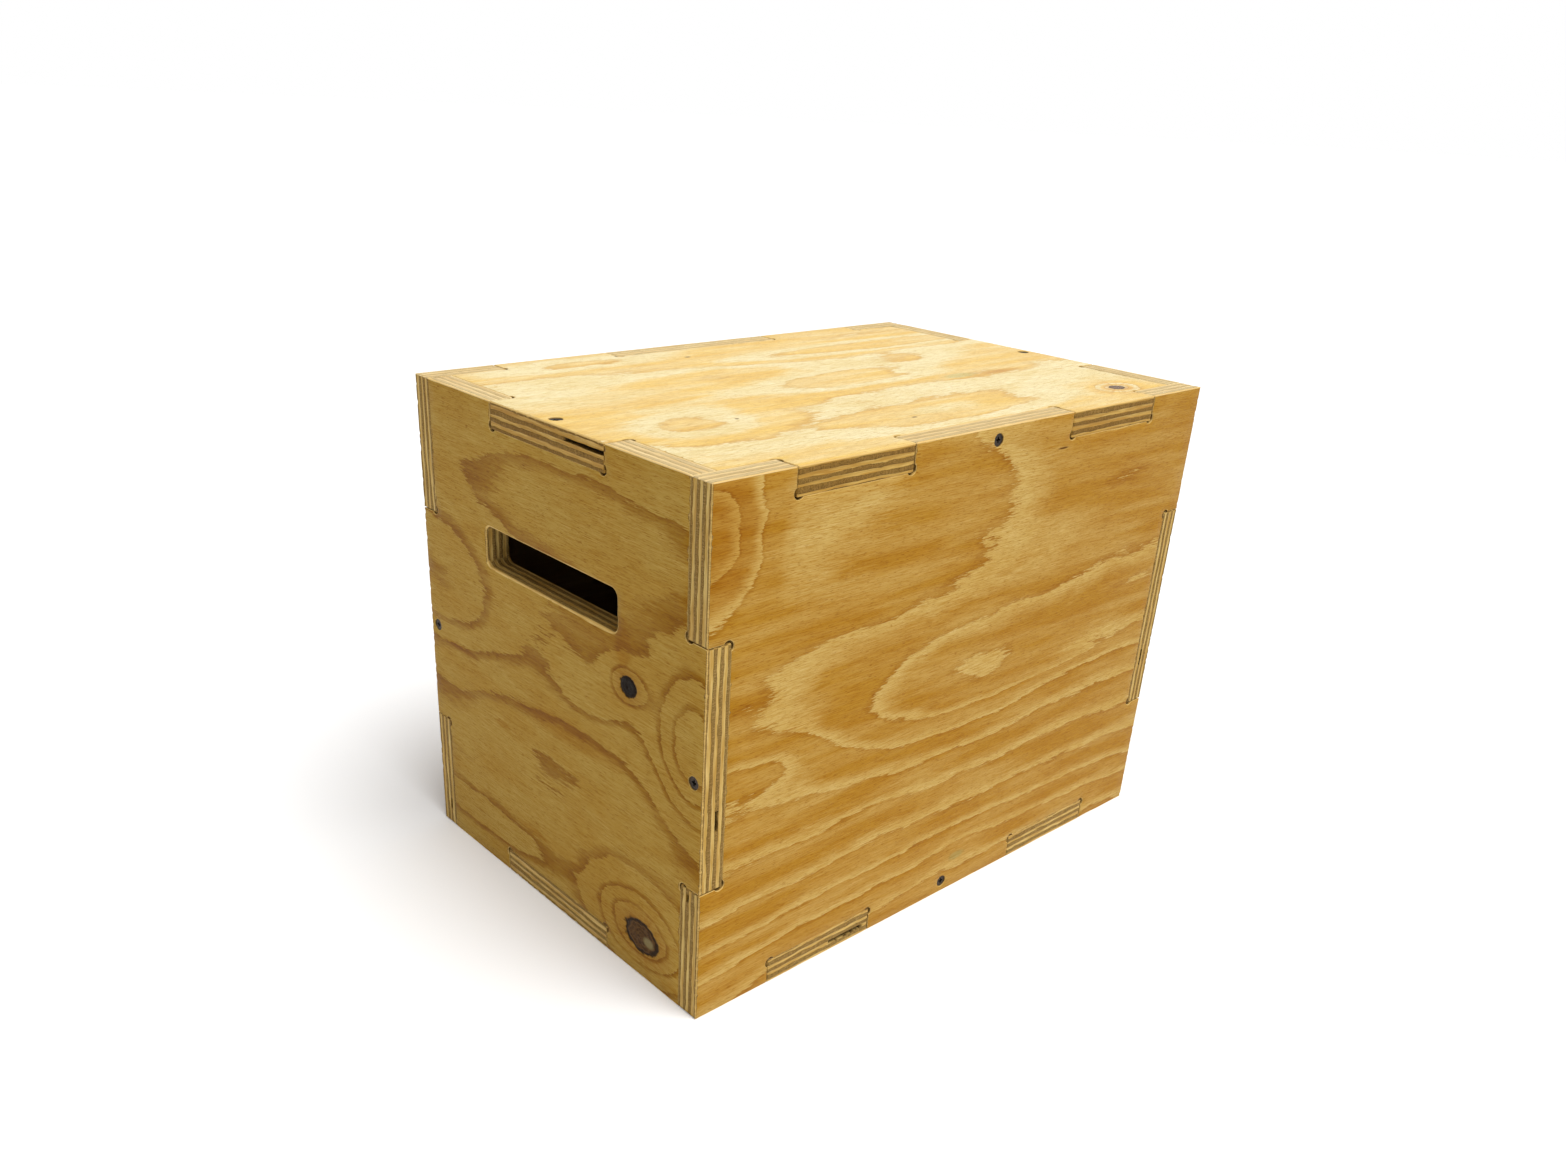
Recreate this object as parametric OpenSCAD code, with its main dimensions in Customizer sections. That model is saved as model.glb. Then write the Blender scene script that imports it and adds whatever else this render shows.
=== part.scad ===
// Finger-jointed plywood step box: six panels glued and screwed together, with a hand hole in each end.
// Millimetres. X runs along the box, Y from front to back, Z up. The origin is the middle of the base.

/* [Box] */
// Length of the box, along X
box_length = 480; // [420:10:600]
// Depth of the box from front to back, along Y
box_depth = 320; // [300:10:420]
// Height of the box, along Z
box_height = 355; // [320:5:450]
// Thickness of the plywood
ply = 18; // [15:0.5:21]

/* [Finger joints] */
// Length of the corner tabs on the top and bottom edges of the front and back panels
corner_tab_length = 62; // [45:1:75]
// Length of each notch beside a corner tab
notch_length = 98; // [70:1:115]
// Height of the corner tabs on the end edges of the front and back panels
corner_tab_height = 95; // [70:1:110]
// Distance from the front face to the near side of the end tabs of the top and bottom panels
end_tab_start = 97; // [80:1:110]
// Gap on each side of a tab
tab_gap = 0.3; // [0.1:0.05:0.5]
// Diameter of the cutter that relieves the inside corners
cutter_diameter = 8; // [6:0.5:9]
// How far the cutter runs past each side of an inside corner
relief_reach = 1.8; // [1:0.1:2.2]

/* [Hand holes] */
// Width of a hand hole
hand_hole_width = 150; // [110:5:170]
// Height of a hand hole
hand_hole_height = 29; // [26:1:40]
// Radius of a hand hole's corners
hand_hole_radius = 6; // [4:0.5:10]
// Distance from the top face down to the middle of a hand hole
hand_hole_drop = 100.5; // [85:0.5:130]

/* [Screws] */
// Length of a screw, from the flat of its head to its tip
screw_length = 40; // [32:1:50]
// Diameter of a screw's head
head_diameter = 8.4; // [7.5:0.1:9]
// Outer diameter of a screw's thread
thread_diameter = 4.2; // [3.5:0.1:4.6]
// Depth of the heads below the face of the wood
head_sink = 0.8; // [0.3:0.1:1.5]
// Height above the base of the screws in the end panels
end_screw_height = 171; // [150:1:190]

/* [Hidden] */
$fn = 48;

wood_color = "burlywood";
screw_color = "dimgray";

// Ends of the notches, measured from the near end of an edge
notch_start = corner_tab_length;
notch_end = corner_tab_length + notch_length;
middle_tab_start = corner_tab_height;
middle_tab_end = box_height - corner_tab_height;
end_tab_end = box_depth - end_tab_start;

cutter_radius = cutter_diameter / 2;
relief_inset = cutter_radius - relief_reach;
// Extra depth that carries a cut clear of the wood
cut_over = 1;

thread_radius = thread_diameter / 2;
root_radius = 0.68 * thread_radius;
head_radius = head_diameter / 2;
head_rim = 0.4;
head_cone = head_radius - root_radius;
tip_length = 2 * thread_diameter;
plain_shank = 0.3 * screw_length;
thread_pitch = 1.8;
thread_turns = floor((screw_length - head_rim - head_cone - plain_shank - tip_length) / thread_pitch);
thread_start = screw_length - tip_length - thread_turns * thread_pitch;
screw_clearance = 0.1;
recess_length = 0.5 * head_diameter;
recess_width = 0.15 * head_diameter;
recess_depth = 1.8;

// One circle of the cutter at an inside corner. The solid wood lies towards (side_x, side_y).
module relief(corner_x, corner_y, side_x, side_y) {
    translate([corner_x - side_x * relief_inset, corner_y - side_y * relief_inset])
        circle(r = cutter_radius);
}

// A notch in a panel's lower edge, from one point to another along it, with both inside corners relieved
module edge_notch(from_x, to_x) {
    translate([from_x, -cut_over])
        square([to_x - from_x, ply + cut_over]);
    relief(from_x, ply, -1, 1);
    relief(to_x, ply, 1, 1);
}

// The child, and the child mirrored about the middle of a panel this wide
module both_sides(width) {
    children();
    translate([width, 0])
        mirror([1, 0])
            children();
}

// The child, and the child mirrored about the middle of a panel this high
module both_edges(height) {
    children();
    translate([0, height])
        mirror([0, 1])
            children();
}

// Front and back panels, seen from the front: length across, height up
module long_side_outline() {
    difference() {
        square([box_length, box_height]);
        both_edges(box_height)
            both_sides(box_length)
                edge_notch(notch_start, notch_end);
        both_sides(box_length) {
            translate([-cut_over, middle_tab_start])
                square([ply + cut_over, middle_tab_end - middle_tab_start]);
            relief(ply, middle_tab_start, 1, -1);
            relief(ply, middle_tab_end, 1, 1);
        }
    }
}

// A rectangle with round corners, centred on the origin
module round_slot(width, height, radius) {
    square([width - 2 * radius, height], center = true);
    square([width, height - 2 * radius], center = true);
    for (x = [-1, 1], y = [-1, 1])
        translate([x * (width / 2 - radius), y * (height / 2 - radius)])
            circle(r = radius);
}

// End panels, seen from the end: depth across, height up
module end_outline() {
    difference() {
        union() {
            translate([ply, 0])
                square([box_depth - 2 * ply, box_height]);
            translate([0, middle_tab_start + tab_gap])
                square([box_depth, middle_tab_end - middle_tab_start - 2 * tab_gap]);
        }
        both_edges(box_height)
            edge_notch(end_tab_start, end_tab_end);
        both_sides(box_depth) {
            relief(ply, middle_tab_start, 1, 1);
            relief(ply, middle_tab_end, 1, -1);
        }
        translate([box_depth / 2, box_height - hand_hole_drop])
            round_slot(hand_hole_width, hand_hole_height, hand_hole_radius);
    }
}

// Top and bottom panels, seen from above: length across, depth up
module lid_outline() {
    difference() {
        union() {
            translate([ply, ply])
                square([box_length - 2 * ply, box_depth - 2 * ply]);
            translate([0, end_tab_start + tab_gap])
                square([box_length, end_tab_end - end_tab_start - 2 * tab_gap]);
            for (x = [notch_start, box_length - notch_end])
                translate([x + tab_gap, 0])
                    square([notch_length - 2 * tab_gap, box_depth]);
        }
        both_edges(box_depth)
            both_sides(box_length) {
                relief(ply, end_tab_start, 1, 1);
                relief(notch_start, ply, 1, 1);
                relief(notch_end, ply, -1, 1);
            }
    }
}

// Places for the two screws of each panel. The child's +Z points out of the panel's face.
module at_front_screws() {
    for (z = [ply / 2, box_height - ply / 2])
        translate([0, -box_depth / 2, z])
            rotate([90, 0, 0])
                children();
}

module at_left_screws() {
    for (side = [-1, 1])
        translate([-box_length / 2, side * (box_depth - ply) / 2, end_screw_height])
            rotate([0, -90, 0])
                children();
}

module at_top_screws() {
    for (side = [-1, 1])
        translate([side * (box_length - ply) / 2, 0, box_height])
            children();
}

// Turns the front panel's things into the back panel's, and the left panel's into the right panel's
module half_turn() {
    rotate([0, 0, 180])
        children();
}

// Turns the top panel's things into the bottom panel's
module flip_over() {
    translate([0, 0, box_height])
        mirror([0, 0, 1])
            children();
}

// Countersunk hole for one screw, from the face of the wood down to just past the screw's tip
module screw_hole() {
    hole_radius = thread_radius + screw_clearance;
    mouth_radius = head_radius + screw_clearance;
    rotate_extrude()
        polygon([
            [0, cut_over],
            [mouth_radius, cut_over],
            [mouth_radius, -head_sink - head_rim],
            [hole_radius, -head_sink - head_rim - (mouth_radius - hole_radius)],
            [hole_radius, -head_sink - screw_length + tip_length - screw_clearance],
            [0, -head_sink - screw_length - 2 * screw_clearance]
        ]);
}

// Cross recess in a screw's head
module drive_recess() {
    for (turn = [0, 90])
        rotate([0, 0, turn])
            translate([-recess_length / 2, -recess_width / 2, -recess_depth])
                cube([recess_length, recess_width, recess_depth + cut_over]);
}

// Countersunk wood screw: flat head, plain shank, ridged thread and a point
module wood_screw() {
    ridges = [
        for (turn = [0 : thread_turns - 1], part = [0, 1])
            [part == 0 ? root_radius : thread_radius, -thread_start - (turn + part / 2) * thread_pitch]
    ];
    translate([0, 0, -head_sink])
        difference() {
            rotate_extrude()
                polygon(concat(
                    [[0, 0], [head_radius, 0], [head_radius, -head_rim]],
                    [[root_radius, -head_rim - head_cone]],
                    ridges,
                    [[root_radius, -screw_length + tip_length], [0, -screw_length]]
                ));
            drive_recess();
        }
}

module front_panel_wood() {
    difference() {
        translate([-box_length / 2, ply - box_depth / 2, 0])
            rotate([90, 0, 0])
                linear_extrude(ply)
                    long_side_outline();
        at_front_screws()
            screw_hole();
        at_left_screws()
            screw_hole();
        half_turn()
            at_left_screws()
                screw_hole();
    }
}

module left_panel_wood() {
    difference() {
        translate([-box_length / 2, -box_depth / 2, 0])
            rotate([90, 0, 90])
                linear_extrude(ply)
                    end_outline();
        at_left_screws()
            screw_hole();
        at_top_screws()
            screw_hole();
        flip_over()
            at_top_screws()
                screw_hole();
    }
}

module top_panel_wood() {
    difference() {
        translate([-box_length / 2, -box_depth / 2, box_height - ply])
            linear_extrude(ply)
                lid_outline();
        at_top_screws()
            screw_hole();
        at_front_screws()
            screw_hole();
        half_turn()
            at_front_screws()
                screw_hole();
    }
}

module front_panel() {
    color(wood_color)
        front_panel_wood();
}

module back_panel() {
    color(wood_color)
        half_turn()
            front_panel_wood();
}

module left_end_panel() {
    color(wood_color)
        left_panel_wood();
}

module right_end_panel() {
    color(wood_color)
        half_turn()
            left_panel_wood();
}

module top_panel() {
    color(wood_color)
        top_panel_wood();
}

module bottom_panel() {
    color(wood_color)
        flip_over()
            top_panel_wood();
}

module front_screws() {
    color(screw_color)
        at_front_screws()
            wood_screw();
}

module back_screws() {
    color(screw_color)
        half_turn()
            at_front_screws()
                wood_screw();
}

module left_end_screws() {
    color(screw_color)
        at_left_screws()
            wood_screw();
}

module right_end_screws() {
    color(screw_color)
        half_turn()
            at_left_screws()
                wood_screw();
}

module top_screws() {
    color(screw_color)
        at_top_screws()
            wood_screw();
}

module bottom_screws() {
    color(screw_color)
        flip_over()
            at_top_screws()
                wood_screw();
}

front_panel();
back_panel();
left_end_panel();
right_end_panel();
top_panel();
bottom_panel();
front_screws();
back_screws();
left_end_screws();
right_end_screws();
top_screws();
bottom_screws();
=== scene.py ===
import math
from typing import NamedTuple

import bmesh
import bpy
import numpy as np
from mathutils import Matrix, Vector, kdtree, noise
from mathutils.geometry import delaunay_2d_cdt


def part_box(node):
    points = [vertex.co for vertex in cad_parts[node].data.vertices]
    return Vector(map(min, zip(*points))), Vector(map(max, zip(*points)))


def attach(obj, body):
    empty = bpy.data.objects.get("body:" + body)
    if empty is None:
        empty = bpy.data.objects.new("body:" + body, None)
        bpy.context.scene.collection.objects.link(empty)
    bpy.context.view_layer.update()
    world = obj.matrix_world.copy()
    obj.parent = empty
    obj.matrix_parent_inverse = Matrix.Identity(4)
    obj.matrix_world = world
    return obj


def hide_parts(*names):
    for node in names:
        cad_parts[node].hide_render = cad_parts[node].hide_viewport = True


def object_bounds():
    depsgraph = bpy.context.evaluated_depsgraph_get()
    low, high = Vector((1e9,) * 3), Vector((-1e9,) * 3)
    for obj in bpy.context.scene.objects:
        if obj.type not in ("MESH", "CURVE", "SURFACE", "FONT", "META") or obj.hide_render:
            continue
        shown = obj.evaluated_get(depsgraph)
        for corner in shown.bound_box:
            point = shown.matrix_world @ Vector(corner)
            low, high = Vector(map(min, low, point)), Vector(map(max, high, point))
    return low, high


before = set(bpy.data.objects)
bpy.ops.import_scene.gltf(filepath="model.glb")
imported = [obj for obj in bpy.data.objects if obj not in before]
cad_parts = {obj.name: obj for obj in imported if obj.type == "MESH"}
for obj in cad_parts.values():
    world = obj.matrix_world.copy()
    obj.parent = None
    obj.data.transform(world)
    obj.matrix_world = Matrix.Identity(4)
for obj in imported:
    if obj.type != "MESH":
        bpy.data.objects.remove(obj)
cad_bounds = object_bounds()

MM = 0.001

# ---------------------------------------------------------------- the wood

# Veneers of the plywood, from the outer face to the inner one, in millimetres
VENEERS = (2.0, 3.0, 2.7, 2.6, 2.7, 3.0, 2.0)
# Half width of the groove along a glue line, and its depth
GROOVE_HALF = 0.14 * MM
GROOVE_DEPTH = 0.16 * MM
# Distance between points along an edge that runs with the grain, and across it
STEP_WITH_GRAIN = 3.0 * MM
STEP_ACROSS_GRAIN = 1.5 * MM
# Rounding of the panel's convex corners, seen square on
CORNER_RADIUS = 1.1 * MM
# Spacing of the points inside a face
FACE_GRID = 8.0 * MM
# Outlines shorter than this are screw pockets
POCKET_OUTLINE = 40 * MM
# Radius of the holes for the screws' shanks, a little wider than their threads
SHANK_HOLE_RADIUS = 2.3 * MM
SHANK_HOLE_SIDES = 48
# Where such a hole starts below the face, inside the countersink, and how far it runs past the screw's tip
SHANK_HOLE_START = 2.6 * MM
SHANK_HOLE_SPARE = 0.3 * MM
# How far a gap in a veneer runs into the panel, in millimetres
VOID_DEPTH = 4.5
# Edges shorter than this, left over from cutting the holes, are closed up
SLIVER = 0.002 * MM


class Hill(NamedTuple):
    """A rise in the growth rings under the peeled veneer. Places and reaches are in millimetres."""

    along: float
    across: float
    reach_along: float
    reach_across: float
    rings: float


class Knot(NamedTuple):
    """A knot, an ellipse in the face, in millimetres. Darkness, pale heart and rays go from 0 to 1."""

    along: float
    across: float
    radius_along: float
    radius_across: float
    darkness: float
    heart: float = 0.0
    rays: float = 0.0


class Stain(NamedTuple):
    """A soft-edged stain or fleck that tints the face. Places and reaches are in millimetres."""

    along: float
    across: float
    reach_along: float
    reach_across: float
    tint: tuple


class Void(NamedTuple):
    """A gap in one veneer, where it meets the panel's edge. Places and length are in millimetres."""

    along: float
    across: float
    veneer: int
    length: float


class Panel(NamedTuple):
    """One plywood panel: where it faces, how its face grain runs, and what shows in its face.

    ring_gap is the distance between growth rings across the grain, in millimetres, and first_ring moves them.
    amber_share is how much of a ring is amber late wood. sheen is the strength of the varnish's reflection,
    mottle that of the cloudy patches, and edge_tint the tone of the layered edges.
    """

    node: str
    out: tuple
    grain: tuple
    seed: float
    ring_gap: float
    first_ring: float
    pale: tuple
    amber: tuple
    amber_share: float
    sheen: float = 0.05
    mottle: float = 0.7
    edge_tint: tuple = (1.0, 0.98, 0.94)
    hills: tuple = ()
    knots: tuple = ()
    stains: tuple = ()
    voids: tuple = ()

    def out_axis(self):
        return Vector(self.out)

    def grain_axis(self):
        return Vector(self.grain)

    def across_axis(self):
        return self.out_axis().cross(self.grain_axis())

    def plane(self):
        """Distance of the outer face from the origin along the outward axis."""
        low, high = BOXES[self.node]
        return max(self.out_axis().dot(low), self.out_axis().dot(high))

    def thickness(self):
        low, high = BOXES[self.node]
        return abs(self.out_axis().dot(high - low))

    def place(self, along, across, depth):
        return (self.grain_axis() * along + self.across_axis() * across
                + self.out_axis() * (self.plane() - depth))


# Early and late wood under varnish: the front and back, the ends, and the top. The end tones are the front's
# wood painted darker, as painted shade on the end faces.
FRONT_PALE, FRONT_AMBER = (0.55, 0.372, 0.114), (0.40, 0.198, 0.017)
SHADED_END_PALE, SHADED_END_AMBER = (0.420, 0.262, 0.052), (0.292, 0.142, 0.008)
# The top tones are painted paler and less saturated than the front's, a painted highlight and sheen on the
# face that looks up at the light.
LIT_TOP_PALE, LIT_TOP_AMBER = (0.83, 0.72, 0.425), (0.79, 0.525, 0.11)

# Colour of the light that the yellowed varnish mirrors
VARNISH_TINT = (1.0, 0.80, 0.52, 1.0)

# Tints of stains and flecks
BLUISH = (0.80, 0.95, 1.15)
DEEP_AMBER = (0.86, 0.74, 0.50)
DARK_FLECK = (0.25, 0.16, 0.08)

PANELS = (
    Panel("front_panel", out=(0, -1, 0), grain=(1, 0, 0), seed=3.1,
          ring_gap=150, first_ring=0.1, pale=FRONT_PALE, amber=FRONT_AMBER, amber_share=0.9,
          hills=(Hill(260, 195, 300, 50, 2.3),
                 Hill(-20, 178, 120, 40, 1.8),
                 Hill(0, -20, 600, 90, -5.0),
                 Hill(200, 212, 50, 7, 0.5),
                 Hill(110, 163, 70, 6, 0.5),
                 Hill(-240, 322, 40, 42, 2.6),
                 Hill(160, 300, 110, 42, 0.75),
                 Hill(-180, 330, 170, 66, -1.3),
                 Hill(-200, 168, 60, 14, -0.8),
                 Hill(-130, 225, 80, 22, 0.5)),
          stains=(Stain(-232, 322, 30, 42, DEEP_AMBER),
                  Stain(14, 27, 9, 3.5, BLUISH),
                  Stain(73, 331, 6, 0.7, DARK_FLECK)),
          voids=(Void(-240, 88, 4, 4),)),
    Panel("back_panel", out=(0, 1, 0), grain=(-1, 0, 0), seed=17.7,
          ring_gap=60, first_ring=0.4, pale=FRONT_PALE, amber=FRONT_AMBER, amber_share=0.7,
          hills=(Hill(80, 210, 200, 60, 3.4),
                 Hill(-160, 80, 90, 40, -1.4)),
          knots=(Knot(-120, 265, 7, 5, 0.8),),
          voids=(Void(240, 17, 4, 8),)),
    Panel("left_end_panel", out=(-1, 0, 0), grain=(0, -1, 0), seed=8.3,
          ring_gap=150, first_ring=0.3, pale=SHADED_END_PALE, amber=SHADED_END_AMBER, amber_share=0.24, mottle=1.0,
          hills=(Hill(150, 192, 34, 46, 3.2),
                 Hill(40, 185, 40, 22, 1.0),
                 Hill(-150, 212, 95, 52, 2.1),
                 Hill(96, 42, 48, 40, 1.3),
                 Hill(-90, 34, 90, 14, 1.2),
                 Hill(40, 300, 150, 34, -1.1),
                 Hill(0, 118, 150, 46, -1.0)),
          knots=(Knot(86.5, 209.5, 8.0, 6.6, 1.0),
                 Knot(102, 32, 17, 11.5, 0.35, heart=0.9, rays=0.3)),
          stains=(Stain(81, 233, 9, 13, DEEP_AMBER),
                  Stain(-64, 123, 10, 3.5, DEEP_AMBER),
                  Stain(20, 150, 60, 9, DEEP_AMBER),
                  Stain(-120, 163, 26, 3, DEEP_AMBER),
                  Stain(-30, 51, 22, 3, DEEP_AMBER)),
          voids=(Void(160, 144.5, 4, 15),)),
    Panel("right_end_panel", out=(1, 0, 0), grain=(0, 1, 0), seed=29.2,
          ring_gap=110, first_ring=0.6, pale=SHADED_END_PALE, amber=SHADED_END_AMBER, amber_share=0.5,
          hills=(Hill(-40, 120, 90, 50, 2.6),
                 Hill(100, 270, 80, 40, 1.6)),
          knots=(Knot(-45, 100, 10, 7, 0.7),),
          voids=(Void(-160, 135, 4, 14),)),
    Panel("top_panel", out=(0, 0, 1), grain=(1, 0, 0), seed=41.9,
          ring_gap=-150, first_ring=-0.3, pale=LIT_TOP_PALE, amber=LIT_TOP_AMBER, amber_share=0.6, sheen=0.3,
          edge_tint=(0.86, 0.76, 0.56),
          hills=(Hill(150, 85, 190, 22, -1.6),
                 Hill(20, -5, 90, 26, -1.2),
                 Hill(-170, -60, 50, 40, -1.2),
                 Hill(120, 30, 60, 20, -0.5),
                 Hill(0, -110, 110, 28, -1.0),
                 Hill(-130, 130, 90, 20, -1.0),
                 Hill(-60, 60, 60, 30, 0.6)),
          knots=(Knot(178, -127, 6.5, 5, 0.1, rays=0.9),),
          stains=(Stain(105, -38, 18, 6, BLUISH),
                  Stain(148, -42, 22, 5, DEEP_AMBER),
                  Stain(-134, -57, 1.6, 1.4, DARK_FLECK),
                  Stain(-34, 116, 3.0, 1.6, DARK_FLECK),
                  Stain(-30, -113, 2.6, 1.2, DARK_FLECK)),
          voids=(Void(-240, -42, 2, 41),)),
    Panel("bottom_panel", out=(0, 0, -1), grain=(-1, 0, 0), seed=55.4,
          ring_gap=90, first_ring=0.2, pale=FRONT_PALE, amber=FRONT_AMBER, amber_share=0.5,
          hills=(Hill(-60, 40, 160, 40, 2.4),
                 Hill(140, -70, 90, 40, -1.4)),
          voids=(Void(103, -160, 2, 34),)),
)


BOXES = {panel.node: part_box(panel.node) for panel in PANELS}
TOP_OF_BOX = cad_bounds[1][2] / MM


# ---------------------------------------------------------------- outlines, read from the CAD panels

def face_loops(panel):
    """The closed loops that bound the panel's outer face: (along, across) points, wood on the left."""
    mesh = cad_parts[panel.node].data
    out, plane = panel.out_axis(), panel.plane()
    points, index_of, half_edges = [], {}, set()

    def number(vertex):
        co = mesh.vertices[vertex].co
        key = tuple(round(c / (0.01 * MM)) for c in co)
        if key not in index_of:
            index_of[key] = len(points)
            points.append(Vector((panel.grain_axis().dot(co), panel.across_axis().dot(co))))
        return index_of[key]

    for face in mesh.polygons:
        if face.normal.dot(out) < 0.99 or abs(out.dot(face.center) - plane) > 0.05 * MM:
            continue
        ring = [number(v) for v in face.vertices]
        half_edges.update(zip(ring, ring[1:] + ring[:1]))
    following = {a: b for a, b in half_edges if (b, a) not in half_edges}
    loops = []
    while following:
        start, now = next(iter(sorted(following.items())))
        loop = [points[start]]
        del following[start]
        while now != start:
            loop.append(points[now])
            now = following.pop(now)
        loops.append(loop)
    return loops


def loop_length(loop):
    return sum((b - a).length for a, b in zip(loop, loop[1:] + loop[:1]))


def thin_out(loop, gap):
    """Drops points that lie on a straight stretch or closer together than gap."""
    kept = []
    for i, p in enumerate(loop):
        before, after = loop[i - 1], loop[(i + 1) % len(loop)]
        turn = abs((p - before).angle_signed(after - p, 0)) if p != before and p != after else 0
        if turn < math.radians(0.5):
            continue
        if kept and (p - kept[-1]).length < gap and turn < math.radians(35):
            continue
        kept.append(p)
    return kept


def round_corners(loop, radius):
    """Replaces each convex right-angled corner by a short arc."""
    result = []
    for i, p in enumerate(loop):
        before, after = loop[i - 1], loop[(i + 1) % len(loop)]
        into, away = (p - before), (after - p)
        turn = math.atan2(into.x * away.y - into.y * away.x, into.dot(away))
        if turn < math.radians(80) or min(into.length, away.length) < 3 * radius:
            result.append(p)
            continue
        into, away = into.normalized(), away.normalized()
        centre = p - into * radius + away * radius
        for part in range(4):
            angle = part / 3 * math.pi / 2
            result.append(centre - away * radius * math.cos(angle) + into * radius * math.sin(angle))
    return result


def resample(loop):
    """Splits long stretches, finely where the edge runs across the grain."""
    result = []
    for a, b in zip(loop, loop[1:] + loop[:1]):
        side = b - a
        with_grain = abs(side.x) / side.length
        step = STEP_WITH_GRAIN if with_grain > 0.7 else STEP_ACROSS_GRAIN
        count = max(1, round(side.length / step))
        result.extend(a + side * (k / count) for k in range(count))
    return result


# ---------------------------------------------------------------- panel meshes

class Rim:
    """A loop with, at each point, the way into the wood and how the edge runs there."""

    def __init__(self, panel, loop):
        self.points = loop
        count = len(loop)
        self.inward, self.with_grain, self.soft, self.travel, self.outer = [], [], [], [], []
        low, high = BOXES[panel.node]
        span = [[axis.dot(c) for c in (low, high)] for axis in (panel.grain_axis(), panel.across_axis())]
        travelled = 0.0
        self.is_hole = sum(a.x * b.y - b.x * a.y for a, b in zip(loop, loop[1:] + loop[:1])) < 0
        for i, p in enumerate(loop):
            before, after = loop[i - 1], loop[(i + 1) % count]
            into, away = (p - before).normalized(), (after - p).normalized()
            left_a, left_b = Vector((-into.y, into.x)), Vector((-away.y, away.x))
            middle = left_a + left_b
            middle = middle.normalized() if middle.length > 1e-6 else left_a
            self.inward.append(middle / max(0.65, middle.dot(left_a)))
            along = (into + away).normalized() if (into + away).length > 1e-6 else into
            self.with_grain.append(abs(along.x))
            turn = abs(into.angle_signed(away, 0))
            self.soft.append(0.35 if turn > math.radians(30) else 1.0)
            self.travel.append(travelled)
            travelled += (after - p).length
            self.outer.append(min(abs(p[k] - s) for k in (0, 1) for s in span[k]) < 0.6 * MM)


def wobble(x, y, z):
    return noise.noise(Vector((x, y, z)))


def easing(panel, rim, i):
    """Width of the rounded arris at one point of a rim, with the tear-out of edges cut across the grain."""
    s = rim.travel[i] / MM
    worn = 1.1 if rim.is_hole else 0.75 if rim.outer[i] else 0.42
    worn += 0.22 * wobble(s / 23, panel.seed, 1)
    across = 1 - rim.with_grain[i]
    torn = max(0.0, wobble(s / 3.1, panel.seed, 7) - 0.12)
    torn = torn * max(0.0, 0.4 + wobble(s / 31, panel.seed, 9)) * 7.0
    sliver = max(0.0, wobble(s / 38, panel.seed, 12) - 0.3) * 2.2
    width = worn + across * torn + (1 - across) * sliver
    return min(1.8, max(0.25, width)) * MM * rim.soft[i]


def void_depth(panel, rim, i, veneer):
    """How far a gap in this veneer runs into the panel at one point of a rim."""
    p = rim.points[i]
    depth = 0.0
    for gap in panel.voids:
        if gap.veneer != veneer:
            continue
        away = (p - Vector((gap.along, gap.across)) * MM).length / MM
        inside = 1 - away / (gap.length / 2)
        if inside > 0:
            depth = max(depth, VOID_DEPTH * min(1.0, inside * 5))
    return depth * MM


def edge_levels(panel, rim, i):
    """Rows down the panel's edge at one point of a rim: (inset, depth, veneer position, wear, hollow). Hollow
    is painted shade that darkens the gaps in the veneers.
    """
    e = easing(panel, rim, i)
    thickness = panel.thickness()
    s = rim.travel[i] / MM
    rows = [(e, 0.0, 0.02, 0.0, 0.0), (0.3 * e, 0.3 * e, 0.06, 1.0, 0.0), (0.02 * MM, e, 0.12, 0.7, 0.0)]
    depth = 0.0
    scale = thickness / sum(VENEERS)
    bounds = [0.0]
    for j, veneer in enumerate(VENEERS):
        depth += veneer * scale
        row = panel.seed + j * 3.7
        drift = 0.6 * wobble(s / 47, row, 3) + 0.4 * wobble(s / 12, row, 5)
        bounds.append(depth + drift * MM if j < len(VENEERS) - 1 else thickness)
    for j in range(len(VENEERS)):
        top, bottom = bounds[j], bounds[j + 1]
        end_grain = (1 - rim.with_grain[i]) if j % 2 == 0 else rim.with_grain[i]
        proud = (0.04 + 0.16 * (1 - end_grain)) * MM
        proud += 0.05 * MM * (1 + wobble(s / 5, panel.seed + j, 15))
        hollow = void_depth(panel, rim, i, j)
        # Painted shade: a deep gap in the veneer is marked to be painted near black.
        void_shade = 1.0 if hollow > 0.5 * MM else 0.0
        if j > 0:
            rows.append((GROOVE_DEPTH, top, float(j), 0.0, 0.0))
            rows.append((proud + hollow, top + GROOVE_HALF, j + 0.1, 0.0, void_shade))
        if j < len(VENEERS) - 1:
            rows.append((proud + hollow, bottom - GROOVE_HALF, j + 0.9, 0.0, void_shade))
    rows.append((0.05 * MM, thickness - 0.4 * MM, len(VENEERS) - 0.1, 0.5, 0.0))
    rows.append((0.4 * MM, thickness, len(VENEERS) - 0.02, 0.5, 0.0))
    return rows


def face_depth(panel, along, across):
    """Shallow waves that the sander left in the face, and the hollows at its knots."""
    a, b = along / MM, across / MM
    depth = 0.05 * (1 + wobble(a / 60, b / 22, panel.seed)) + 0.02 * (1 + wobble(a / 17, b / 5, panel.seed))
    for knot in panel.knots:
        r = math.hypot((a - knot.along) / knot.radius_along, (b - knot.across) / knot.radius_across)
        depth += 0.55 * max(0.0, 1 - r) * knot.darkness * (0.6 + wobble(a / 1.7, b / 1.7, 3))
        depth += 0.35 * math.exp(-((r - 1.0) / 0.09) ** 2) * knot.darkness
    return max(0.0, depth) * MM


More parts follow.
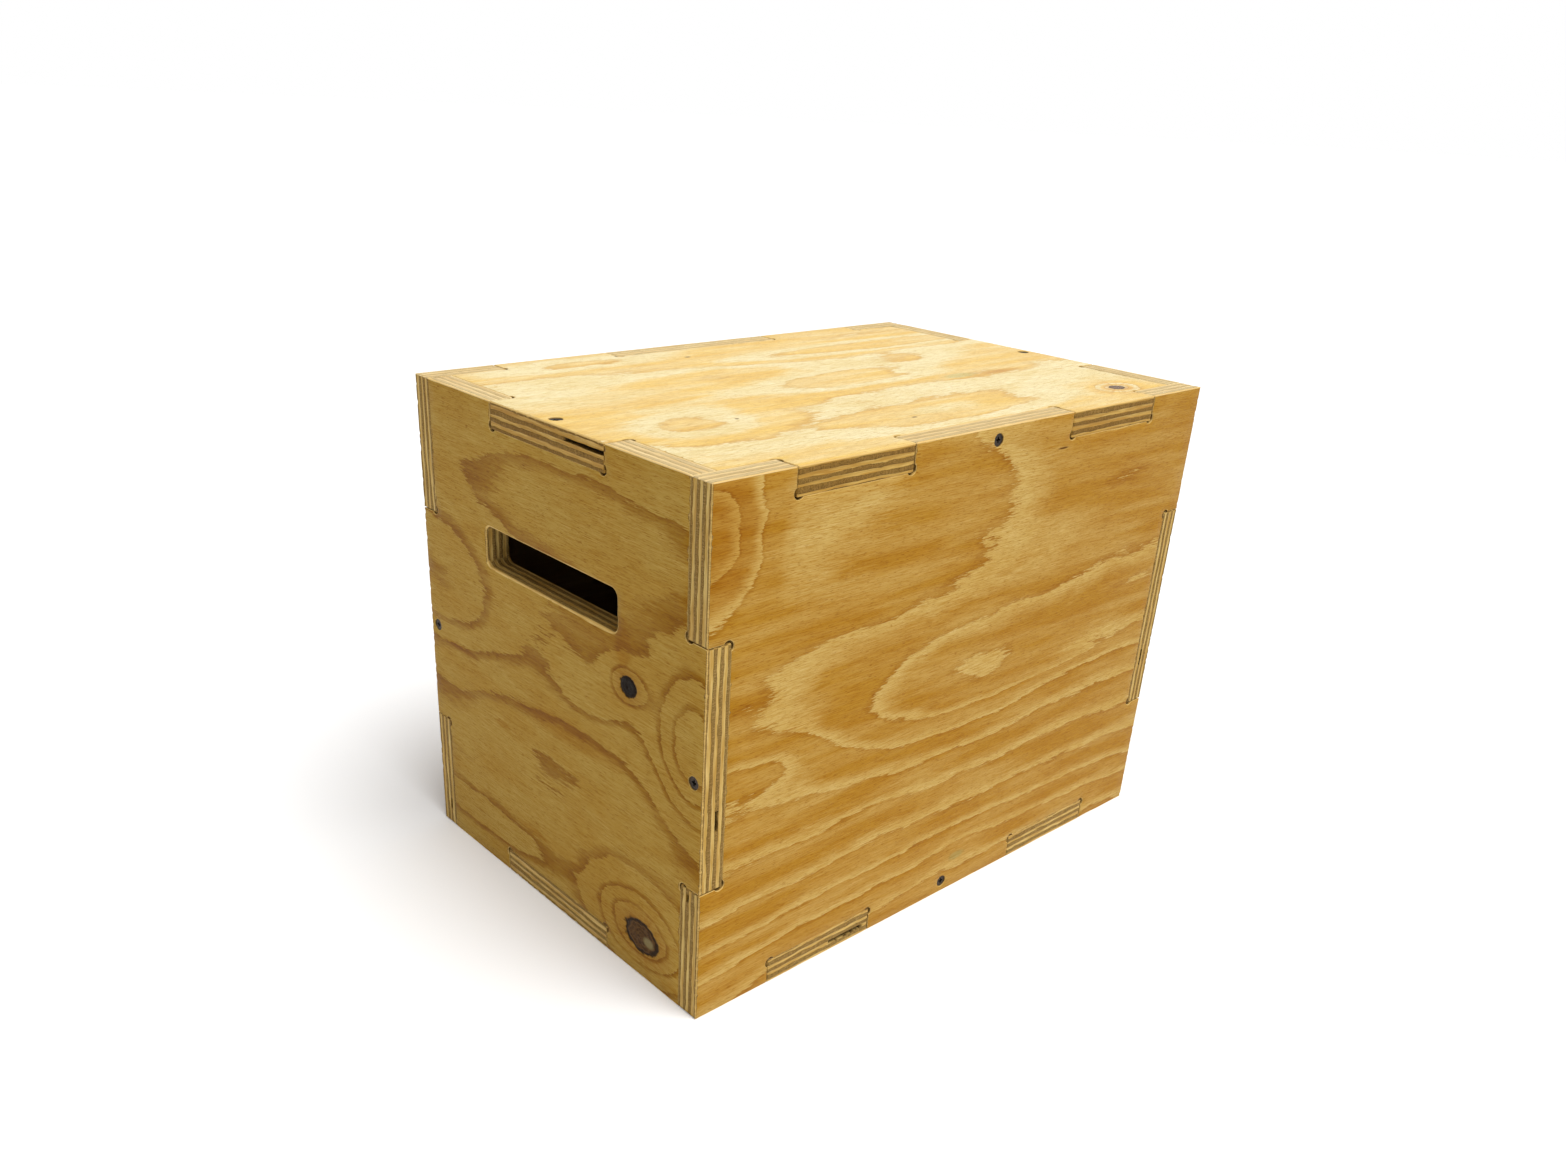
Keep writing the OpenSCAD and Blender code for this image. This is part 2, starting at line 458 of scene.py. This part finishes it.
def inside_mask(centres, loops):
    """Which of the centres lie in the wood: inside an odd number of loops."""
    inside = np.zeros(len(centres), bool)
    for loop in loops:
        a = np.array([tuple(p) for p in loop])
        b = np.roll(a, -1, axis=0)
        x, y = centres[:, :1], centres[:, 1:]
        straddles = (a[:, 1] > y) != (b[:, 1] > y)
        with np.errstate(divide="ignore", invalid="ignore"):
            cross = a[:, 0] + (y - a[:, 1]) / (b[:, 1] - a[:, 1]) * (b[:, 0] - a[:, 0])
        inside ^= (np.count_nonzero(straddles & (x < cross), axis=1) % 2).astype(bool)
    return inside


def face_points(panel, loops, grid):
    """Points inside a face: a staggered grid and rings round the knots, kept clear of its edges."""
    flat = [p for loop in loops for p in loop]
    tree = kdtree.KDTree(len(flat))
    for i, p in enumerate(flat):
        tree.insert((p.x, p.y, 0), i)
    tree.balance()
    wanted = []
    xs, ys = [p.x for p in flat], [p.y for p in flat]
    rows = int((max(ys) - min(ys)) / grid)
    columns = int((max(xs) - min(xs)) / grid)
    for r in range(1, rows):
        for c in range(1, columns):
            wanted.append((Vector((min(xs) + (c + 0.5 * (r % 2)) * grid, min(ys) + r * grid)), 3.0 * MM))
    for knot in panel.knots if grid == FACE_GRID else ():
        for ring in range(1, 12):
            share = 0.13 * ring
            for part in range(6 + 3 * ring):
                angle = 2 * math.pi * part / (6 + 3 * ring)
                spot = Vector((knot.along + knot.radius_along * share * math.cos(angle),
                               knot.across + knot.radius_across * share * math.sin(angle))) * MM
                wanted.append((spot, 2.0 * MM))
    mask = inside_mask(np.array([tuple(p) for p, _ in wanted]), loops)
    return [p for (p, gap), keep in zip(wanted, mask)
            if keep and tree.find((p.x, p.y, 0))[2] > gap]


def fill_face(bm, panel, rings, loops, grid, depth_at, facing, material):
    """Triangulates a face between its rings of vertices, with points inside it for its waves."""
    points, vertices, edges = [], [], []
    for ring, loop in zip(rings, loops):
        first = len(points)
        points += loop
        vertices += ring
        edges += [(first + k, first + (k + 1) % len(loop)) for k in range(len(loop))]
    for p in face_points(panel, loops, grid):
        points.append(p)
        vertices.append(bm.verts.new(panel.place(p.x, p.y, depth_at(p.x, p.y))))
    flat, _, triangles, origin, _, _ = delaunay_2d_cdt(points, edges, [], 0, 1e-7)
    for k, source in enumerate(origin):
        if not source:
            p = flat[k]
            vertices.append(bm.verts.new(panel.place(p.x, p.y, depth_at(p.x, p.y))))
            origin[k] = [len(vertices) - 1]
    centres = np.array([[sum(flat[v].x for v in t) / 3, sum(flat[v].y for v in t) / 3] for t in triangles])
    for triangle, keep in zip(triangles, inside_mask(centres, loops)):
        if not keep:
            continue
        corner = [vertices[origin[v][0]] for v in triangle]
        if len(set(corner)) < 3:
            continue
        face = bm.faces.new(corner)
        face.material_index = material
        face.normal_update()
        if face.normal.dot(facing) < 0:
            face.normal_flip()


def bridge(bm, upper, lower, material):
    """Joins two rings of vertices by a band of quads."""
    count = len(upper)
    for i in range(count):
        j = (i + 1) % count
        face = bm.faces.new((upper[j], upper[i], lower[i], lower[j]))
        face.material_index = material


# Places of the panel's three materials
FACE, EDGE, INSIDE = 0, 1, 2


def panel_mesh(panel):
    """The panel's mesh: its veneered faces, its layered edges and its screw pockets."""
    bm = bmesh.new()
    layers = {name: bm.verts.layers.float.new(name)
              for name in ("veneer", "travel", "with_grain", "wear", "hollow")}
    front_rings, front_loops, back_rings, back_loops = [], [], [], []
    for loop in face_loops(panel):
        pocket = loop_length(loop) < POCKET_OUTLINE
        if pocket:
            loop = thin_out(loop, 0.3 * MM)
        else:
            loop = resample(round_corners(thin_out(loop, 0.7 * MM), CORNER_RADIUS))
        rim = Rim(panel, loop)
        columns = []
        for i, p in enumerate(rim.points):
            rows = pocket_levels(panel, rim, i) if pocket else edge_levels(panel, rim, i)
            column = []
            for inset, depth, veneer, wear, hollow in rows:
                spot = p + rim.inward[i] * inset
                deep = depth + (face_depth(panel, spot.x, spot.y) if depth < 0.5 * MM else 0)
                vertex = bm.verts.new(panel.place(spot.x, spot.y, deep))
                vertex[layers["veneer"]] = veneer
                vertex[layers["travel"]] = rim.travel[i]
                vertex[layers["with_grain"]] = rim.with_grain[i]
                vertex[layers["wear"]] = wear
                vertex[layers["hollow"]] = hollow
                column.append((vertex, spot))
            columns.append(column)
        for level in range(len(columns[0]) - 1):
            bridge(bm, [c[level][0] for c in columns], [c[level + 1][0] for c in columns], EDGE)
        front_rings.append([c[0][0] for c in columns])
        front_loops.append([c[0][1] for c in columns])
        if pocket:
            bm.faces.new([c[-1][0] for c in reversed(columns)]).material_index = EDGE
        else:
            back_rings.append([c[-1][0] for c in columns])
            back_loops.append([c[-1][1] for c in columns])
    fill_face(bm, panel, front_rings, front_loops, FACE_GRID,
              lambda a, b: face_depth(panel, a, b), panel.out_axis(), FACE)
    fill_face(bm, panel, back_rings, back_loops, 5 * FACE_GRID,
              lambda a, b: panel.thickness(), -panel.out_axis(), INSIDE)
    bm.normal_update()
    for edge in bm.edges:
        edge.smooth = edge.calc_face_angle(0) < math.radians(38)
    for face in bm.faces:
        face.smooth = True
    mesh = bpy.data.meshes.new(panel.node + "_wood")
    bm.to_mesh(mesh)
    bm.free()
    return mesh


def pocket_levels(panel, rim, i):
    """Rows down a screw's countersink. It is torn at its mouth and narrows under the head. Its hollow values
    are painted shade, darker deeper into the pocket.
    """
    s = rim.travel[i] / MM
    torn = (0.35 + 0.5 * max(0.0, wobble(s / 2.3, panel.seed, 21) + 0.2)) * MM
    return [(torn, 0.0, 0.1, 0.8, 0.0), (0.35 * torn, 0.25 * MM, 0.2, 0.4, 0.3),
            (0.03 * MM, 1.25 * MM, 0.5, 0.0, 0.8), (-1.9 * MM, 3.2 * MM, 1.5, 0.0, 1.0)]


def shank_rods():
    """A rod for each screw, as long as the hole that its shank and thread need."""
    bm = bmesh.new()
    for panel in PANELS:
        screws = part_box(panel.node.replace("_panel", "_screws"))
        tip = panel.plane() - min(panel.out_axis().dot(corner) for corner in screws)
        length = tip + SHANK_HOLE_SPARE - SHANK_HOLE_START
        upright = panel.out_axis().to_track_quat("Z", "Y").to_matrix().to_4x4()
        for loop in face_loops(panel):
            if loop_length(loop) >= POCKET_OUTLINE:
                continue
            centre = sum(loop, Vector((0, 0))) / len(loop)
            middle = panel.place(centre.x, centre.y, SHANK_HOLE_START + length / 2)
            bmesh.ops.create_cone(bm, cap_ends=True, segments=SHANK_HOLE_SIDES, radius1=SHANK_HOLE_RADIUS,
                                  radius2=SHANK_HOLE_RADIUS, depth=length,
                                  matrix=Matrix.Translation(middle) @ upright)
    mesh = bpy.data.meshes.new("shank_rods")
    bm.to_mesh(mesh)
    bm.free()
    rods = bpy.data.objects.new("shank_rods", mesh)
    bpy.context.scene.collection.objects.link(rods)
    return rods


def drill(pieces):
    """Cuts the shank holes into the panels, so that no screw runs through solid wood."""
    rods = shank_rods()
    for piece in pieces:
        cut = piece.modifiers.new("shank_holes", "BOOLEAN")
        cut.operation = "DIFFERENCE"
        cut.solver = "EXACT"
        cut.object = rods
    depsgraph = bpy.context.evaluated_depsgraph_get()
    for piece in pieces:
        solid = piece.data
        piece_name = solid.name
        drilled = bpy.data.meshes.new_from_object(piece.evaluated_get(depsgraph), depsgraph=depsgraph)
        bm = bmesh.new()
        bm.from_mesh(drilled)
        bmesh.ops.dissolve_degenerate(bm, dist=SLIVER, edges=bm.edges)
        bm.to_mesh(drilled)
        bm.free()
        piece.modifiers.clear()
        piece.data = drilled
        bpy.data.meshes.remove(solid)
        drilled.name = piece_name
    rod_mesh = rods.data
    bpy.data.objects.remove(rods)
    bpy.data.meshes.remove(rod_mesh)


# ---------------------------------------------------------------- shader nodes

class Nodes:
    """Adds shader nodes to a material and links them."""

    def __init__(self, tree):
        self.tree = tree
        tree.nodes.clear()

    def new(self, kind, inputs=(), **settings):
        node = self.tree.nodes.new(kind)
        for key, value in settings.items():
            setattr(node, key, value)
        for key, value in dict(inputs).items():
            self.feed(node.inputs[key], value)
        return node

    def feed(self, socket, value):
        if isinstance(value, bpy.types.NodeSocket):
            self.tree.links.new(value, socket)
        elif value is not None:
            socket.default_value = value

    def math(self, operation, a, b=None):
        node = self.new("ShaderNodeMath", operation=operation)
        for socket, value in zip(node.inputs, (a, b)):
            self.feed(socket, value)
        return node.outputs[0]

    def add(self, *terms):
        total = terms[0]
        for term in terms[1:]:
            total = self.math("ADD", total, term)
        return total

    def mul(self, a, b):
        return self.math("MULTIPLY", a, b)

    def vector(self, operation, a, b=None, scale=None):
        node = self.new("ShaderNodeVectorMath", operation=operation)
        self.feed(node.inputs[0], a)
        self.feed(node.inputs[1], b)
        if scale is not None:
            self.feed(node.inputs["Scale"], scale)
        return node.outputs["Value" if operation in ("DOT_PRODUCT", "LENGTH") else "Vector"]

    def combine(self, x, y, z=0.0):
        node = self.new("ShaderNodeCombineXYZ")
        for socket, value in zip(node.inputs, (x, y, z)):
            self.feed(socket, value)
        return node.outputs[0]

    def noise(self, where, detail=2.0, roughness=0.5):
        node = self.new("ShaderNodeTexNoise", {"Vector": where, "Scale": 1.0, "Detail": detail,
                                               "Roughness": roughness, "Distortion": 0.0})
        return node.outputs["Fac"]

    def signed_noise(self, where, detail=2.0, roughness=0.5):
        return self.math("SUBTRACT", self.noise(where, detail, roughness), 0.5)

    def stretch(self, where, size_x, size_y, shift=0.0):
        """The position in units of a patch size_x by size_y, moved on so that no two patterns agree."""
        scaled = self.vector("DIVIDE", where, (size_x, size_y, 1.0))
        return self.vector("ADD", scaled, (shift * 1.37, shift * 2.71, shift))

    def step(self, value, start, end):
        node = self.new("ShaderNodeMapRange", {"Value": value, "From Min": start, "From Max": end},
                        interpolation_type="SMOOTHSTEP")
        return node.outputs["Result"]

    def between(self, value, start, end, low, high):
        node = self.new("ShaderNodeMapRange", {"Value": value, "From Min": start, "From Max": end,
                                               "To Min": low, "To Max": high})
        return node.outputs["Result"]

    def mix(self, share, a, b, blend="MIX"):
        node = self.new("ShaderNodeMix", data_type="RGBA", blend_type=blend, clamp_factor=True)
        self.feed(node.inputs["Factor"], share)
        sockets = [s for s in node.inputs if s.name in ("A", "B") and s.type == "RGBA"]
        for socket, value in zip(sockets, (a, b)):
            self.feed(socket, (*value, 1.0) if isinstance(value, tuple) and len(value) == 3 else value)
        return next(s for s in node.outputs if s.type == "RGBA")

    def attribute(self, name):
        return self.new("ShaderNodeAttribute", attribute_name=name).outputs["Fac"]

    def finish(self, colour, roughness, height, bump_distance, bump_strength=1.0, **sockets):
        bump = self.new("ShaderNodeBump",
                        {"Height": height, "Distance": bump_distance, "Strength": bump_strength})
        shader = self.new("ShaderNodeBsdfPrincipled",
                          {"Base Color": colour, "Roughness": roughness, "Normal": bump.outputs[0]})
        for name, value in sockets.items():
            shader.inputs[name.replace("_", " ")].default_value = value
        output = self.new("ShaderNodeOutputMaterial")
        self.tree.links.new(shader.outputs[0], output.inputs[0])


def new_material(name):
    material = bpy.data.materials.new(name)
    material.use_nodes = True
    return material, Nodes(material.node_tree)


def face_position(n, panel):
    """Position in the face in millimetres: along the grain, across it, and 0."""
    where = n.new("ShaderNodeTexCoord").outputs["Object"]
    along = n.vector("DOT_PRODUCT", where, tuple(panel.grain_axis() / MM))
    across = n.vector("DOT_PRODUCT", where, tuple(panel.across_axis() / MM))
    return n.combine(along, across), across


def hill_height(n, where, hill):
    """The rings added by one hill, falling off smoothly to the sides."""
    offset = n.vector("SUBTRACT", where, (hill.along, hill.across, 0))
    scaled = n.vector("DIVIDE", offset, (hill.reach_along, hill.reach_across, 1))
    far = n.vector("DOT_PRODUCT", scaled, scaled)
    return n.mul(n.math("EXPONENT", n.mul(far, -1.0)), hill.rings)


def knot_radius(n, where, knot):
    """Distance from a knot's centre in units of its radius, with a ragged rim."""
    offset = n.vector("SUBTRACT", where, (knot.along, knot.across, 0))
    scaled = n.vector("DIVIDE", offset, (knot.radius_along, knot.radius_across, 1))
    ragged = n.signed_noise(n.vector("MULTIPLY", scaled, (2.3, 2.3, 1)), 3.0)
    return n.add(n.vector("LENGTH", scaled), n.mul(ragged, 0.6)), scaled


def veneer_material(panel):
    """Varnished rotary-cut pine: wide growth rings, fine fibres, stains and knots."""
    m, n = new_material(panel.node + "_veneer")
    where, across = face_position(n, panel)
    seed = panel.seed

    drift = n.signed_noise(n.stretch(where, 150, 46, seed), 2.0)
    sway = n.signed_noise(n.stretch(where, 44, 15, seed + 3), 3.0)
    feather = n.signed_noise(n.stretch(where, 17, 1.7, seed + 5), 4.0, 0.65)
    lace = n.signed_noise(n.stretch(where, 6, 0.55, seed + 7), 2.0)
    rings = n.add(n.mul(across, 1 / panel.ring_gap), n.mul(drift, 0.7), n.mul(sway, 0.45),
                  n.mul(feather, 0.36), n.mul(lace, 0.14), panel.first_ring)
    for hill in panel.hills:
        rings = n.add(rings, hill_height(n, where, hill))
    for knot in panel.knots:
        wide = Hill(knot.along, knot.across, 2.6 * knot.radius_along, 2.2 * knot.radius_across, 2.2)
        rings = n.add(rings, hill_height(n, where, wide))
    turn = n.math("FRACT", rings)

    share = panel.amber_share
    late = n.math("MULTIPLY", n.step(turn, 1 - share - 0.1, 1 - 0.62 * share), n.step(turn, 1.0, 0.965))
    strength = n.between(n.noise(n.stretch(where, 130, 13, seed + 9), 3.0), 0.36, 0.60, 0.52, 1.0)
    colour = n.mix(n.mul(late, strength), panel.pale, panel.amber)
    rim = n.math("MULTIPLY", n.step(turn, 0.86, 0.96), n.step(turn, 1.0, 0.985))
    colour = n.mix(n.mul(n.mul(rim, strength), 0.8), colour, (0.80, 0.68, 0.48), "MULTIPLY")

    patches = n.noise(n.stretch(where, 70, 24, seed + 12), 4.0, 0.6)
    patches = n.between(patches, 0.42, 0.62, 0.0, panel.mottle)
    colour = n.mix(patches, colour, (0.93, 0.86, 0.68), "MULTIPLY")
    fibres = n.noise(n.stretch(where, 16, 0.7, seed + 15), 5.0, 0.7)
    colour = n.mix(n.between(fibres, 0.49, 0.57, 0.0, 0.85), colour, (0.83, 0.72, 0.48), "MULTIPLY")
    pale_fibres = n.noise(n.stretch(where, 18, 0.9, seed + 18), 4.0, 0.7)
    colour = n.mix(n.between(pale_fibres, 0.53, 0.61, 0.0, 0.8), colour, (1.12, 1.17, 1.42), "MULTIPLY")
    flecks = n.noise(n.stretch(where, 5.0, 0.45, seed + 21), 2.0, 0.5)
    colour = n.mix(n.between(flecks, 0.60, 0.68, 0.0, 0.8), colour, (0.58, 0.40, 0.16), "MULTIPLY")

    height = n.add(n.mul(fibres, 0.5), n.mul(late, 0.35), n.mul(flecks, -0.2))
    gloss = n.between(late, 0.0, 1.0, 0.55, 0.42)
    for stain in panel.stains:
        colour = add_stain(n, where, stain, colour)
    for knot in panel.knots:
        colour, height, gloss = add_knot(n, where, knot, colour, height, gloss)

    n.finish(colour, gloss, height, 0.00022, 1.0,
             Specular_IOR_Level=panel.sheen, Specular_Tint=VARNISH_TINT)
    return m


def add_stain(n, where, stain, colour):
    """Tints the face with one stain, ragged at its rim."""
    spot = Knot(stain.along, stain.across, stain.reach_along, stain.reach_across, 0)
    radius, _ = knot_radius(n, where, spot)
    return n.mix(n.step(radius, 1.25, 0.55), colour, stain.tint, "MULTIPLY")


def add_knot(n, where, knot, colour, height, gloss):
    """Paints one knot: a dark ringed core with cracks, and a near-black rim."""
    radius, scaled = knot_radius(n, where, knot)
    core = n.step(radius, 1.04, 0.92)
    if knot.rays:
        spread = n.noise(n.vector("SCALE", n.vector("NORMALIZE", scaled), scale=4.5), 3.0, 0.6)
        ray = n.math("MULTIPLY", n.between(spread, 0.46, 0.60, 0.0, knot.rays), n.step(radius, 5.5, 1.5))
        colour = n.mix(ray, colour, (0.84, 0.62, 0.34), "MULTIPLY")
    ring_wave = n.math("SINE", n.mul(radius, 26.0))
    speckle = n.noise(n.vector("MULTIPLY", scaled, (5, 5, 1)), 4.0, 0.7)
    brown = n.mix(knot.darkness, (0.060, 0.024, 0.005), (0.004, 0.002, 0.001))
    pale_brown = n.mix(knot.darkness, (0.20, 0.095, 0.025), (0.012, 0.006, 0.003))
    ringed = n.mix(n.add(n.mul(ring_wave, 0.2), n.between(speckle, 0.35, 0.65, 0.0, 0.8)), brown, pale_brown)
    if knot.heart:
        from_heart = n.vector("LENGTH", n.vector("SUBTRACT", scaled, (0.45, -0.1, 0)))
        ringed = n.mix(n.mul(n.step(from_heart, 0.42, 0.2), knot.heart), ringed, (0.22, 0.17, 0.07))
    halo = n.math("MULTIPLY", n.step(radius, 2.3, 1.0), 0.55)
    colour = n.mix(halo, colour, (0.72, 0.52, 0.34), "MULTIPLY")
    colour = n.mix(core, colour, ringed)
    rim = n.math("MULTIPLY", n.step(radius, 0.78, 0.97), n.step(radius, 1.16, 1.0))
    colour = n.mix(n.mul(rim, 0.95), colour, (0.012, 0.006, 0.003))
    height = n.add(height, n.mul(core, -1.2), n.mul(n.mul(speckle, core), 1.6), n.mul(rim, -1.5))
    gloss = n.add(gloss, n.mul(core, -0.08))
    return colour, height, gloss


def edge_material(panel):
    """Layered edge of the plywood: pale long grain and dark end grain by turns, with glue lines."""
    m, n = new_material(panel.node + "_layers")
    veneer, travel = n.attribute("veneer"), n.attribute("travel")
    seed = panel.seed
    bend = n.signed_noise(n.combine(n.mul(travel, 0.06 / MM), n.mul(veneer, 0.5), seed), 5.0, 0.65)
    bent = n.add(veneer, n.mul(bend, 1.3))
    index = n.math("FLOOR", bent)
    odd = n.math("MODULO", index, 2.0)
    with_grain = n.attribute("with_grain")
    even, against_grain = n.math("SUBTRACT", 1.0, odd), n.math("SUBTRACT", 1.0, with_grain)
    end_grain = n.add(n.mul(odd, with_grain), n.mul(even, against_grain))
    end_grain = n.step(end_grain, 0.3, 0.7)

    # Millimetres along the edge and down through the thickness, with each veneer shifted to its own wood
    along = n.mul(travel, 1 / MM)
    down = n.mul(veneer, 2.6)
    where = n.combine(along, down, n.add(n.mul(index, 7.7), seed))
    streaks = n.noise(n.stretch(where, 14, 0.45, seed), 4.0, 0.7)
    slow = n.noise(n.stretch(where, 46, 30, seed + 4), 2.0)
    pores = n.noise(n.stretch(where, 0.55, 0.6, seed + 7), 3.0, 0.75)
    rays = n.noise(n.stretch(where, 0.5, 4.5, seed + 9), 2.0, 0.6)

    pale = n.mix(n.between(streaks, 0.35, 0.68, 0.0, 1.0), (0.72, 0.54, 0.21), (0.47, 0.30, 0.075))
    dark = n.mix(n.between(pores, 0.35, 0.65, 0.0, 1.0), (0.120, 0.068, 0.016), (0.36, 0.23, 0.065))
    dark = n.mix(n.between(rays, 0.5, 0.7, 0.0, 0.6), dark, (0.48, 0.32, 0.12))
    ochre = n.noise(n.stretch(where, 24, 1.4, seed + 13), 3.0)
    pale = n.mix(n.between(ochre, 0.42, 0.6, 0.0, 0.8), pale, (0.46, 0.27, 0.055))
    colour = n.mix(end_grain, pale, dark)
    # Painted highlight: edge strips within the top millimetre of the box, which face up to the light, are
    # mixed toward pale cream.
    height_up = n.vector("DOT_PRODUCT", n.new("ShaderNodeTexCoord").outputs["Object"], (0, 0, 1 / MM))
    top_edge_highlight = n.step(height_up, TOP_OF_BOX - 1.0, TOP_OF_BOX - 0.5)
    colour = n.mix(n.mul(top_edge_highlight, 0.55), colour, (0.96, 0.78, 0.45))
    colour = n.mix(1.0, colour, panel.edge_tint, "MULTIPLY")
    colour = n.mix(n.between(slow, 0.4, 0.65, 0.0, 0.5), colour, (0.80, 0.68, 0.50), "MULTIPLY")

    from_line = n.math("PINGPONG", bent, 0.5)
    line_width = n.between(slow, 0.35, 0.65, 0.06, 0.17)
    line = n.math("MULTIPLY", n.step(from_line, line_width, 0.01), n.step(veneer, 0.3, 0.6))
    line = n.math("MULTIPLY", line, n.between(slow, 0.38, 0.58, 1.0, 0.3))
    colour = n.mix(n.mul(line, 0.8), colour, (0.085, 0.042, 0.010))
    wear, hollow = n.attribute("wear"), n.attribute("hollow")
    worn = n.mul(n.step(wear, 0.4, 1.0), n.between(pores, 0.3, 0.6, 0.4, 0.9))
    colour = n.mix(worn, colour, (0.76, 0.50, 0.16))
    # Painted shade: gaps in the veneers and the depths of the screw pockets are darkened toward near black.
    colour = n.mix(n.mul(hollow, 0.9), colour, (0.018, 0.010, 0.004))
    height = n.add(n.mul(streaks, 0.6), n.mul(n.mul(pores, end_grain), 1.2), n.mul(line, -0.8))
    gloss = n.between(end_grain, 0.0, 1.0, 0.5, 0.68)
    n.finish(colour, gloss, height, 0.0003, 1.0, Specular_IOR_Level=0.12, Specular_Tint=VARNISH_TINT)
    return m


def shaded_inside_material(panel):
    """Bare pine on the inside of the box, painted darker as shade inside the closed box."""
    m, n = new_material(panel.node + "_inside")
    where, across = face_position(n, panel)
    bands = n.noise(n.stretch(where, 160, 9, panel.seed + 40), 4.0, 0.6)
    fibres = n.noise(n.stretch(where, 30, 0.7, panel.seed + 43), 4.0, 0.7)
    colour = n.mix(n.between(bands, 0.35, 0.65, 0.0, 1.0), (0.36, 0.23, 0.10), (0.27, 0.145, 0.045))
    colour = n.mix(n.between(fibres, 0.45, 0.7, 0.0, 0.5), colour, (0.8, 0.7, 0.55), "MULTIPLY")
    n.finish(colour, 0.7, fibres, 0.0002, 0.8, Specular_IOR_Level=0.3)
    return m


def screw_material():
    """Dark oxidised steel with varnish and dirt in its hollows."""
    m, n = new_material("oxidised_steel")
    where = n.vector("DIVIDE", n.new("ShaderNodeTexCoord").outputs["Object"], (MM, MM, MM))
    grime = n.noise(n.stretch(where, 1.6, 1.6), 4.0, 0.6)
    scratches = n.noise(n.stretch(where, 0.25, 3.0, 5), 3.0, 0.6)
    colour = n.mix(n.between(grime, 0.4, 0.62, 0.0, 1.0), (0.020, 0.015, 0.012), (0.070, 0.050, 0.036))
    colour = n.mix(n.between(scratches, 0.58, 0.75, 0.0, 0.6), colour, (0.17, 0.15, 0.13))
    gloss = n.between(grime, 0.35, 0.65, 0.38, 0.62)
    n.finish(colour, gloss, n.add(grime, n.mul(scratches, 0.5)), 0.0001, 0.8, Metallic=0.85)
    return m


# ---------------------------------------------------------------- the object

def make_panel(panel):
    piece = bpy.data.objects.new(panel.node + "_wood", panel_mesh(panel))
    bpy.context.scene.collection.objects.link(piece)
    for material in (veneer_material(panel), edge_material(panel), shaded_inside_material(panel)):
        piece.data.materials.append(material)
    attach(piece, "root")
    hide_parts(panel.node)
    return piece


def dress_screws():
    steel = screw_material()
    for name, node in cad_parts.items():
        if name.endswith("_screws"):
            node.data.materials.clear()
            node.data.materials.append(steel)


# ---------------------------------------------------------------- the studio

def make_floor():
    mesh = bpy.data.meshes.new("floor")
    bm = bmesh.new()
    bmesh.ops.create_circle(bm, cap_ends=True, segments=96, radius=FLOOR_RADIUS)
    bm.to_mesh(mesh)
    bm.free()
    floor = bpy.data.objects.new("floor", mesh)
    bpy.context.scene.collection.objects.link(floor)
    m, n = new_material("pale_floor")
    shader = n.new("ShaderNodeBsdfDiffuse", {"Color": (0.96, 0.96, 0.96, 1.0)})
    output = n.new("ShaderNodeOutputMaterial")
    n.tree.links.new(shader.outputs[0], output.inputs[0])
    mesh.materials.append(m)


# Light of the room, as a source and as it is seen or mirrored
ROOM_LIGHT = 0.40
ROOM_SEEN = 1.0
SUN_STRENGTH = 2.9
SUN_SPREAD = math.radians(40)
SUN_FROM = Vector((0.08, -0.46, 1.0))
FLOOR_RADIUS = 30.0


def make_sun():
    """A broad soft light, high up and a little to the right and in front."""
    sun = bpy.data.lights.new("sun", "SUN")
    sun.energy = SUN_STRENGTH
    sun.angle = SUN_SPREAD
    holder = bpy.data.objects.new("sun", sun)
    holder.rotation_euler = SUN_FROM.to_track_quat("Z", "Y").to_euler()
    bpy.context.scene.collection.objects.link(holder)


def make_world():
    """A pale even room, a little brighter where it is seen or mirrored than as a source of light."""
    world = bpy.data.worlds.new("studio")
    world.use_nodes = True
    bpy.context.scene.world = world
    n = Nodes(world.node_tree)
    path = n.new("ShaderNodeLightPath")
    seen = n.math("MAXIMUM", path.outputs["Is Camera Ray"], path.outputs["Is Glossy Ray"])
    strength = n.between(seen, 0.0, 1.0, ROOM_LIGHT, ROOM_SEEN)
    background = n.new("ShaderNodeBackground", {"Color": (1.0, 1.0, 1.0, 1.0), "Strength": strength})
    output = n.new("ShaderNodeOutputWorld")
    n.tree.links.new(background.outputs[0], output.inputs[0])


def make_camera():
    """The camera stands in front of the left end, above the box, tilted a little to its right.

    Its shift is the photo's framing: the lens's axis meets the picture left of and below the middle.
    """
    data = bpy.data.cameras.new("camera")
    data.sensor_width = 36.0
    data.lens = 29.15
    data.shift_x = 0.021
    data.shift_y = 0.078
    data.clip_end = 100.0
    camera = bpy.data.objects.new("camera", data)
    right = Vector((0.74868, -0.66142, 0.04469)).normalized()
    view = Vector((0.60967, 0.66050, -0.43823)).normalized()
    up = right.cross(view).normalized()
    right = view.cross(up)
    matrix = camera.matrix_world.to_3x3()
    matrix.col[0], matrix.col[1], matrix.col[2] = right, up, -view
    camera.matrix_world = matrix.to_4x4()
    camera.location = (-0.6603, -0.6528, 0.5401)
    bpy.context.scene.collection.objects.link(camera)
    bpy.context.scene.camera = camera


make_camera()
drill([make_panel(one_panel) for one_panel in PANELS])
dress_screws()
make_floor()
make_world()
make_sun()
bpy.context.scene.view_settings.view_transform = "Standard"
